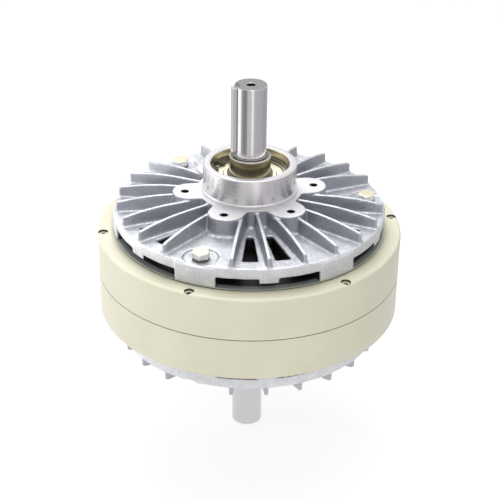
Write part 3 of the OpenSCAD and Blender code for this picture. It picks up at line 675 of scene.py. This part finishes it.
# Turned aluminium of the spigot, with the bearing's warm glow painted on the bore and just past it
SPIGOT_LIGHT = (0.73, 0.71, 0.715)
SPIGOT_DULL = (0.69, 0.67, 0.68)
BORE_PAINTED_GLOW = (0.66, 0.61, 0.47)
BORE_SKIN = 0.6


def turned_aluminium():
    """The turned spigot, with a painted warm glow of the bearing on its bore."""
    n = TurnedMaterial("turned_aluminium")
    turned = turned_lines(n, SPIGOT_LIGHT, SPIGOT_DULL, rough=0.26, depth=0.0015)
    # Painted warm glow of the bearing on the bore
    n.set("Base Color", n.mix(n.below(n.radius, BEARING_R + BORE_SKIN), turned, BORE_PAINTED_GLOW))
    return n.owner


# Bearing steel, and the radii of its dark lines with half their width
BEARING_WARM = (0.86, 0.81, 0.66)
BEARING_DULL = (0.78, 0.72, 0.56)
BEARING_LINE = (0.05, 0.045, 0.03)
BEARING_EDGE = 0.7
BEARING_LINES = (SHIELD_R, SHIELD_IN_R, BEARING_R - BEARING_EDGE)
BEARING_LINE_HALF = 0.45


def bearing_steel():
    """Bearing rings and shields: warm steel, with a dark line where shield and rings meet."""
    n = TurnedMaterial("bearing_steel_skin")
    steel = turned_lines(n, BEARING_WARM, BEARING_DULL, rough=0.42, depth=0.002)
    for line in BEARING_LINES:
        off = n.math("ABSOLUTE", n.math("SUBTRACT", n.radius, line * MM))
        steel = n.mix(n.below(off, BEARING_LINE_HALF), steel, BEARING_LINE)
    n.set("Base Color", steel)
    return n.owner


# Ground steel of the shafts, brown on the bearing seat, with painted shade on the ledge where that seat ends
# and darker painted shade in the crease at the ledge's foot
GROUND_LIGHT = (0.64, 0.63, 0.645)
GROUND_DULL = (0.59, 0.58, 0.60)
SEAT_BROWN = (0.66, 0.635, 0.56)
LEDGE_PAINTED_SHADE = (0.26, 0.25, 0.20)
LEDGE_FOOT_PAINTED_SHADE = (0.03, 0.03, 0.025)
LEDGE_SKIN = 0.25
LEDGE_FOOT_W = 1.6
SHAFT_FACE_GREY = (0.30, 0.31, 0.285)


def shaft_steel():
    """Ground shafts and keys: brownish on the bearing seats, with painted shade on their ledges, grey on the
    end faces.
    """
    n = TurnedMaterial("ground_steel_skin")
    ground = turned_lines(n, GROUND_LIGHT, GROUND_DULL, rough=0.16, depth=0.0008)
    seat = n.both(n.below(n.height, COLLAR_TOP + HAIR), n.above(n.radius, SHAFT_R + SKIN))
    ledge = n.both(seat, n.above(n.height, COLLAR_TOP - LEDGE_SKIN))
    ledge_foot_shade = n.both(ledge, n.below(n.radius, SHAFT_R + LEDGE_FOOT_W))
    end = n.above(n.height, SHAFT_END - SKIN)
    # Painted shade on the ledge, and darker painted shade in the crease at its foot
    n.set("Base Color", n.layers(
        ground,
        (seat, SEAT_BROWN),
        (ledge, LEDGE_PAINTED_SHADE),
        (ledge_foot_shade, LEDGE_FOOT_PAINTED_SHADE),
        (end, SHAFT_FACE_GREY),
    ))
    return n.owner


# Cast aluminium: its skin, its milled faces, its rim with a painted sheen, and painted shade on its walls
# and in its openings and holes
CAST_LIGHT = (0.73, 0.735, 0.76)
CAST_DULL = (0.53, 0.54, 0.57)
CAST_WALL_SHADE = (0.42, 0.43, 0.47)
CAST_PIT = (0.34, 0.35, 0.38)
CAST_RIM_FINISH_AND_SHEEN = (0.80, 0.795, 0.815)
MILLED_LIGHT = (0.67, 0.66, 0.665)
MILLED_DULL = (0.58, 0.57, 0.585)
MILLED_LINE = (0.54, 0.53, 0.54)
WINDOW_PAINTED_SHADE = (0.05, 0.055, 0.055)
HOLE_PAINTED_SHADE = (0.07, 0.07, 0.075)

# Painted shade on the walls grows from the first to the second of these slopes, 1 for level and 0 for
# upright
WALL_SHADE_SLOPES = (0.6, 0.4)
WALL_SHADE_SHARE = 0.75
WALL_SHADE_FOOT = 0.5

# The turned rim's depth, and how much of its colour and of its roughness shows; its lighter colour is partly
# the turned finish and partly a painted sheen
RIM_SKIN = 0.8
RIM_FINISH_AND_SHEEN_SHARE = 0.55
MILLED_SKIN = 0.2
MILLED_ROUGH = 0.6

# Painted shade fills the windows from the first to the second depth below the plate's top, out to WINDOW_RIM
# past their end, the holes below HOLE_MOUTH, and the gap below the plate inside its rim's skin
WINDOW_DEPTHS = (1.5, 4)
WINDOW_RIM = 3
HOLE_MOUTH = 0.8
GAP_RISE = 0.7
GAP_RIM = 0.6


def painted_wall_shade(n):
    """Share of painted shade, large on upright faces above the plate."""
    normal = n.node("ShaderNodeNewGeometry").outputs["Normal"]
    upright = n.ramp(n.math("ABSOLUTE", n.split(normal)[2]), *WALL_SHADE_SLOPES, 0.0, WALL_SHADE_SHARE)
    return n.both(upright, n.above(n.z, PLATE_TOP + WALL_SHADE_FOOT))


def painted_opening_shade(n):
    """Where painted shade goes: 1 in the windows, and in the gap below the plate."""
    start, full = WINDOW_DEPTHS
    low_down = n.fade(n.z, PLATE_TOP - full, PLATE_TOP - start)
    window_shade = n.both(n.below(n.radius, WINDOW_OUT_R + WINDOW_RIM), low_down)
    gap_shade = n.both(n.below(n.radius, RIM_R - GAP_RIM), n.below(n.z, PLATE_LOW + GAP_RISE))
    return n.either(window_shade, gap_shade)


def lobe_holes(n):
    """Where painted shade goes: 1 in the tapped holes of the lobes."""
    round_axis = n.within(STATION_STEP, LOBE_HOLE_POS, LOBE_HOLE_R + SKIN)
    return n.both(round_axis, n.below(n.z, HUB_FACE - HOLE_MOUTH))


def milled_face(n):
    """Colour of a milled face, with swirls and fine lines."""
    swirl = n.ramp(n.noise(20), 0.35, 0.65)
    lines = n.ramp(n.noise(1.2, 2, n.lathe_way), 0.4, 0.7, 0.0, 0.5)
    return n.layers(MILLED_LIGHT, (swirl, MILLED_DULL), (lines, MILLED_LINE))


def cast_metal():
    """Sand-cast aluminium, finely pitted and dull in patches, milled where things bear on it."""
    n = TurnedMaterial("cast_aluminium_skin")
    patch = n.noise(12, 5, rough=0.6)
    pits = n.noise(1.8, 4, rough=0.7)
    milled = n.above(n.z, HUB_FACE - MILLED_SKIN)
    rim = n.math("MULTIPLY", n.above(n.radius, RIM_R - RIM_SKIN), RIM_FINISH_AND_SHEEN_SHARE)
    n.set("Base Color", n.layers(
        CAST_LIGHT,
        (n.ramp(patch, 0.38, 0.62), CAST_DULL),
        # Painted shade on the upright walls
        (painted_wall_shade(n), CAST_WALL_SHADE),
        (n.ramp(pits, 0.38, 0.55, 0.7, 0.0), CAST_PIT),
        # Lighter rim: partly its turned finish, partly a painted sheen
        (rim, CAST_RIM_FINISH_AND_SHEEN),
        (milled, milled_face(n)),
        # Painted shade in the windows and in the gap below the plate
        (painted_opening_shade(n), WINDOW_PAINTED_SHADE),
        # Painted shade down the lobes' tapped holes
        (lobe_holes(n), HOLE_PAINTED_SHADE),
    ))
    n.set("Metallic", 0.9)
    machined = n.either(n.math("MULTIPLY", milled, MILLED_ROUGH), rim)
    n.set("Roughness", n.either(n.ramp(patch, 0.3, 0.7, 0.32, 0.44), machined))
    as_cast = n.math("SUBTRACT", 1.0, milled)
    swell = n.bump(n.both(n.noise(3.5), as_cast), 0.2)
    n.set("Normal", n.bump(n.both(pits, as_cast), 0.5, swell))
    return n.owner


# Paint of the housing, and the bare steel of its land from the top down and inwards, with painted shade on
# both and a painted highlight on the land's edge
CREAM = (0.70, 0.675, 0.525)
CREAM_DULL = (0.665, 0.64, 0.49)
CREAM_LAND_SHADE = (0.36, 0.36, 0.24)
OLIVE_DARK_AND_PAINTED_SHADE = (0.06, 0.058, 0.035)
LAND_DARK = (0.30, 0.32, 0.31)
LAND_LIGHT = (0.40, 0.42, 0.41)
LAND_EDGE_HIGHLIGHT = (0.60, 0.63, 0.56)
LAND_SIDE_SHADE = (0.07, 0.08, 0.06)
LAND_DEEP_SHADE = (0.02, 0.02, 0.02)

# Painted shade turns the paint olive over the first width beside the land, at the given share, and the paint
# starts PAINT_START past it
LAND_SHADE_W = 5
LAND_SHADE_SHARE = 0.5
PAINT_START = 0.25

# The land has a painted highlight of this width on its edge, painted shade down its side, and painted shade
# further in, fading out between two insets from the register
LAND_EDGE_HIGHLIGHT_W = 1.3
LAND_SIDE_SHADE_DROP = 0.25
LAND_SHADE_INSETS = (4, 7)

# Half the height of the dark line that the seam's groove shows, and the painted top of a screw, under which
# the screw gets painted shade
SEAM_HALF = 0.45
SCREW_CROWN = 0.7


def cream_paint(n, cloud_size=50):
    """Cream paint with a cloudy tint and a faint orange peel."""
    n.set("Specular IOR Level", 0.5)
    n.set("Normal", n.bump(n.noise(2.2, 2), 0.06))
    return n.mix(n.cloud(cloud_size), CREAM, CREAM_DULL)


def painted_housing(n):
    """Colour of the painted faces, olive with painted shade beside the land, dark in the seam, and dark in
    the counterbores with painted shade.
    """
    # Painted shade of the bracket on the paint beside the land
    land_shade = n.fade(n.radius, PAD_END_R, PAD_END_R + LAND_SHADE_W, LAND_SHADE_SHARE)
    # The counterbores' walls are dark: partly their bare metal, partly painted shade
    recess = n.within(STATION_STEP, SCREW_POS, COUNTERBORE_R)
    recess = n.both(recess, n.below(n.height, LAND - LAND_RISE - SKIN))
    # One olive for the seam's dark joint and the counterbores' painted shade
    dark = n.either(n.below(n.height, SEAM_HALF), recess)
    return n.layers(cream_paint(n), (land_shade, CREAM_LAND_SHADE), (dark, OLIVE_DARK_AND_PAINTED_SHADE))


def land_with_painted_light(n):
    """Colour of the land: lined steel with a painted highlight on its edge, and painted shade down its side
    and further in.
    """
    deep, shallow = LAND_SHADE_INSETS
    return n.layers(
        n.mix(n.noise(1.2, 2, n.lathe_way), LAND_DARK, LAND_LIGHT),
        (n.above(n.radius, PAD_END_R - LAND_EDGE_HIGHLIGHT_W), LAND_EDGE_HIGHLIGHT),
        (n.below(n.height, LAND - LAND_SIDE_SHADE_DROP), LAND_SIDE_SHADE),
        (n.fade(n.radius, REGISTER_R + deep, REGISTER_R + shallow), LAND_DEEP_SHADE),
    )


def housing_paint():
    """Painted housing, bare on the machined land and inside."""
    n = TurnedMaterial("housing_cream")
    on_land = n.above(n.height, LAND - LAND_RISE + HAIR)
    inside = n.below(n.radius, REGISTER_R + SKIN)
    bare = n.both(n.below(n.radius, PAD_END_R + PAINT_START), n.either(on_land, inside))
    n.set("Base Color", n.mix(bare, painted_housing(n), land_with_painted_light(n)))
    n.set("Metallic", n.math("MULTIPLY", bare, 0.4))
    n.set("Roughness", n.ramp(bare, 0, 1, 0.38, 0.5))
    return n.owner


def painted_screw():
    """Housing screws: paint on top of the head, with painted shade in the socket and down the sides."""
    n = TurnedMaterial("painted_screw")
    # Painted shade in the socket and down the sides of the head, below the crown
    deep = n.below(n.z, SCREW_TOP - SCREW_CROWN)
    n.set("Base Color", n.mix(deep, cream_paint(n, cloud_size=10), OLIVE_DARK_AND_PAINTED_SHADE))
    n.set("Roughness", 0.45)
    return n.owner


# Light and dull tints of the plain finishes
BLACKING = (0.10, 0.094, 0.075)
BLACKING_DULL = (0.14, 0.13, 0.10)
BALL_GREY = (0.7, 0.7, 0.7)
BALL_GREY_DULL = (0.64, 0.64, 0.65)
# Drum steel near black: painted shade, standing in for the dark seen inside the windows
DRUM_PAINTED_SHADE = (0.012, 0.012, 0.012)
DRUM_PAINTED_SHADE_DULL = (0.02, 0.02, 0.02)
COPPER = (0.72, 0.36, 0.18)
COPPER_DULL = (0.55, 0.25, 0.12)
RESIN = (0.02, 0.02, 0.02)
RESIN_DULL = (0.035, 0.035, 0.034)
RUBBER = (0.016, 0.016, 0.016)
RUBBER_DULL = (0.03, 0.03, 0.03)
POWDER = (0.05, 0.048, 0.046)
POWDER_DULL = (0.12, 0.115, 0.11)


def make_finishes():
    """Finish of each material slot."""
    return {
        "housing_paint": housing_paint(),
        "cast_aluminium": cast_metal(),
        "zinc_fastener": zinc_plate(),
        "black_fastener": metal("black_oxide", BLACKING, BLACKING_DULL, rough=0.42, shine=0.7),
        "ground_steel": shaft_steel(),
        "bearing_steel": bearing_steel(),
        "ball_steel": metal("ball_steel_skin", BALL_GREY, BALL_GREY_DULL, rough=0.08, grain_depth=0.0),
        "drum_steel": dull("drum_steel_skin", DRUM_PAINTED_SHADE, DRUM_PAINTED_SHADE_DULL, rough=0.7),
        "copper_wire": metal("copper_wire_skin", COPPER, COPPER_DULL, rough=0.3),
        "black_resin": dull("black_resin_skin", RESIN, RESIN_DULL, rough=0.5),
        "black_rubber": dull("black_rubber_skin", RUBBER, RUBBER_DULL, rough=0.75),
        "iron_powder": dull("iron_powder_skin", POWDER, POWDER_DULL, rough=0.9, grain=0.8, depth=0.3),
    }


def dress_nodes(finishes):
    """Gives every CAD node the finish of its material slot, and the housing screws their paint."""
    for node in nodes.values():
        for place in node.material_slots:
            place.material = finishes[place.material.name.split(".")[0]]
    paint = painted_screw()
    for place in nodes["housing_screws"].material_slots:
        place.material = paint


def make_castings(finishes):
    """The two brackets as castings with fillets, in place of the plain solids."""
    points, triangles, quads = casting_mesh()
    spigot_points, spigot_quads = spigot_mesh()
    mesh = mesh_from("bracket_casting", [
        (points, (triangles, quads), 0), (spigot_points, (spigot_quads,), 1)
    ])
    mesh.materials.append(finishes["cast_aluminium"])
    mesh.materials.append(turned_aluminium())
    for side in ("upper", "lower"):
        piece = add_object(side + "_casting", mesh)
        if side == "lower":
            piece.rotation_euler = (math.pi, 0, 0)
        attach(piece, "stator")
        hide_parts(side + "_bracket")


# Camera, worked out from the round edges in the photograph, with its angles in radians
CAMERA_AT = (-0.18308, -1.27045, 0.706817)
CAMERA_YAW = 0.144117
CAMERA_PITCH = 0.4945722
CAMERA_ROLL = -0.0139904
CAMERA_LENS = 93.6
CAMERA_SENSOR = 36
CAMERA_CLIP = (0.05, 50)


def make_camera():
    """Camera at the photograph's place and angle."""
    data = bpy.data.cameras.new("camera")
    data.sensor_width = CAMERA_SENSOR
    data.lens = CAMERA_LENS
    data.clip_start, data.clip_end = CAMERA_CLIP
    camera = add_object("camera", data)
    bpy.context.scene.camera = camera
    ahead = Vector((
        math.sin(CAMERA_YAW) * math.cos(CAMERA_PITCH),
        math.cos(CAMERA_YAW) * math.cos(CAMERA_PITCH),
        -math.sin(CAMERA_PITCH),
    ))
    level = Vector((math.cos(CAMERA_YAW), -math.sin(CAMERA_YAW), 0))
    down = ahead.cross(level)
    right = math.cos(CAMERA_ROLL) * level + math.sin(CAMERA_ROLL) * down
    down = -math.sin(CAMERA_ROLL) * level + math.cos(CAMERA_ROLL) * down
    turn = Matrix((right, -down, -ahead)).transposed().to_4x4()
    camera.matrix_world = Matrix.Translation(CAMERA_AT) @ turn


# Square soft lamps: name, place, width, power in watts, and whether gloss mirrors the lamp
LAMPS = (
    ("back_softbox", (-0.25, 0.95, 1.45), 1.1, 14, True),
    ("top_softbox", (0.15, 0.1, 1.8), 1.2, 11, True),
    ("left_softbox", (-1.8, 0.3, 0.2), 0.9, 12, True),
    ("front_softbox", (-0.1, -1.9, 1.0), 1.2, 17.5, False),
)
LAMPS_AIM = (0, 0, 0.05)


def make_lamps():
    """Soft lamps behind, above, at the left and in front."""
    for name, place, width, power, mirrored in LAMPS:
        data = bpy.data.lights.new(name, "AREA")
        data.size = width
        data.energy = power
        lamp = add_object(name, data)
        lamp.location = place
        lamp.rotation_euler = (Vector(LAMPS_AIM) - Vector(place)).to_track_quat("-Z", "Y").to_euler()
        lamp.visible_glossy = mirrored


# The surround grows brighter towards each direction, from a cosine on and up to a strength
SURROUND = (
    ((-0.45, 0.0, 1.0), -1.0, 0.55),
    ((0.14, 0.87, 0.47), 0.5, 0.60),
)
SURROUND_TINT = (0.97, 0.98, 1.0)


def seen_or_mirrored(n):
    """1 for rays from the camera and for those that gloss or glass sends on, otherwise 0."""
    path = n.node("ShaderNodeLightPath").outputs
    return n.either(path["Is Camera Ray"], n.either(path["Is Glossy Ray"], path["Is Transmission Ray"]))


def make_surround():
    """World that lights the object from behind and above, and looks white."""
    world = bpy.data.worlds.new("surround")
    bpy.context.scene.world = world
    n = Nodes(world, "Background", "Generated")
    light = 0.0
    for way, start, most in SURROUND:
        towards = n.node("ShaderNodeVectorMath", operation="DOT_PRODUCT")
        towards.inputs[1].default_value = Vector(way).normalized()
        n.feed(towards.inputs[0], n.where)
        light = n.math("ADD", light, n.ramp(towards.outputs["Value"], start, 1.0, 0.0, most))
    seen = seen_or_mirrored(n)
    unseen = n.math("SUBTRACT", 1.0, seen)
    n.set("Strength", n.math("ADD", seen, n.math("MULTIPLY", unseen, light)))
    n.set("Color", SURROUND_TINT)


# The floor's own grey where it is seen and where it only sends light on, and its glow where seen
FLOOR_HALF = 6
FLOOR_UNSEEN = (0.75, 0.75, 0.75)
FLOOR_SEEN = (0.25, 0.25, 0.25)
FLOOR_GLOW = 0.80


def make_floor():
    """White floor, wide enough to fill the view from every side, with a faint shadow."""
    low = cad_box[0].z
    points = np.array([
        (x * FLOOR_HALF, y * FLOOR_HALF, low) for x, y in ((-1, -1), (1, -1), (1, 1), (-1, 1))
    ])
    mesh = mesh_from("floor", [(points, (np.array([(0, 1, 2, 3)]),), 0)])
    n = Material("floor_white")
    seen = seen_or_mirrored(n)
    n.set("Base Color", n.mix(seen, FLOOR_UNSEEN, FLOOR_SEEN))
    n.set("Roughness", 0.9)
    n.set("Specular IOR Level", 0.0)
    n.set("Emission Color", (1, 1, 1))
    n.set("Emission Strength", n.math("MULTIPLY", seen, FLOOR_GLOW))
    mesh.materials.append(n.owner)
    add_object("floor", mesh)


# Tints of the studio wall's cards
PLAIN = (1.0, 1.0, 1.0)
ROSY = (1.0, 0.97, 1.02)
PINK = (1.03, 0.98, 1.0)
GREENISH = (0.98, 1.0, 0.93)

# Brightness and tint of the studio wall, by the angle in degrees from the camera's side of it
WALL_STOPS = (
    (-180, 0.69, ROSY),
    (-140, 0.80, PLAIN),
    (-130, 1.60, PLAIN),
    (-72, 1.60, PLAIN),
    (-66, 0.50, GREENISH),
    (-56, 0.50, GREENISH),
    (-50, 0.33, PLAIN),
    (-28, 0.33, PLAIN),
    (-20, 0.80, PLAIN),
    (4, 0.80, PLAIN),
    (9, 1.35, PINK),
    (19, 1.35, PINK),
    (25, 0.69, ROSY),
    (90, 0.60, ROSY),
    (110, 0.50, ROSY),
    (180, 0.69, ROSY),
)
WALL_RADIUS = 0.65
WALL_TOP = 0.10
WALL_SEGMENTS = 96


def wall_mesh():
    """Upright ring round the object, from the floor up to WALL_TOP."""
    turns = np.arange(WALL_SEGMENTS) * 2 * math.pi / WALL_SEGMENTS
    ring = WALL_RADIUS * np.stack([np.cos(turns), np.sin(turns)], axis=1)
    heights = (cad_box[0].z, WALL_TOP)
    points = np.concatenate([np.column_stack([ring, np.full(WALL_SEGMENTS, z)]) for z in heights])
    here = np.arange(WALL_SEGMENTS)
    beyond = (here + 1) % WALL_SEGMENTS
    quads = np.stack([here, here + WALL_SEGMENTS, beyond + WALL_SEGMENTS, beyond], axis=1)
    return mesh_from("studio_wall", [(points, (quads,), 0)])


def wall_cards():
    """Cards that glow by the angle round the object."""
    n = Material("studio_wall_cards")
    x, y, _ = n.split(n.where)
    turn = n.math("DIVIDE", n.math("ARCTAN2", y, x), 2 * math.pi)
    ramp = n.node("ShaderNodeValToRGB")
    stops = ramp.color_ramp.elements
    while len(stops) < len(WALL_STOPS):
        stops.new(0.5)
    for stop, (degrees, _, _) in zip(stops, WALL_STOPS):
        stop.position = degrees / 360 + 0.5
    for stop, (_, level, tint) in zip(stops, WALL_STOPS):
        stop.color = (*(level * part for part in tint), 1)
    n.feed(ramp.inputs["Fac"], n.math("ADD", turn, 0.5))
    n.set("Base Color", (0, 0, 0))
    n.set("Specular IOR Level", 0.0)
    n.set("Emission Color", ramp.outputs["Color"])
    n.set("Emission Strength", 1.0)
    return n.owner


def make_studio_wall():
    """Ring of light and dark cards round the object, which only gloss sees."""
    mesh = wall_mesh()
    mesh.materials.append(wall_cards())
    wall = add_object("studio_wall", mesh)
    wall.rotation_euler.z = math.atan2(CAMERA_AT[1], CAMERA_AT[0])
    for sees in ("visible_camera", "visible_diffuse", "visible_shadow", "visible_volume_scatter"):
        setattr(wall, sees, False)


finishes = make_finishes()
dress_nodes(finishes)
make_castings(finishes)
make_camera()
make_lamps()
make_surround()
make_floor()
make_studio_wall()

bpy.context.scene.view_settings.view_transform = "Standard"
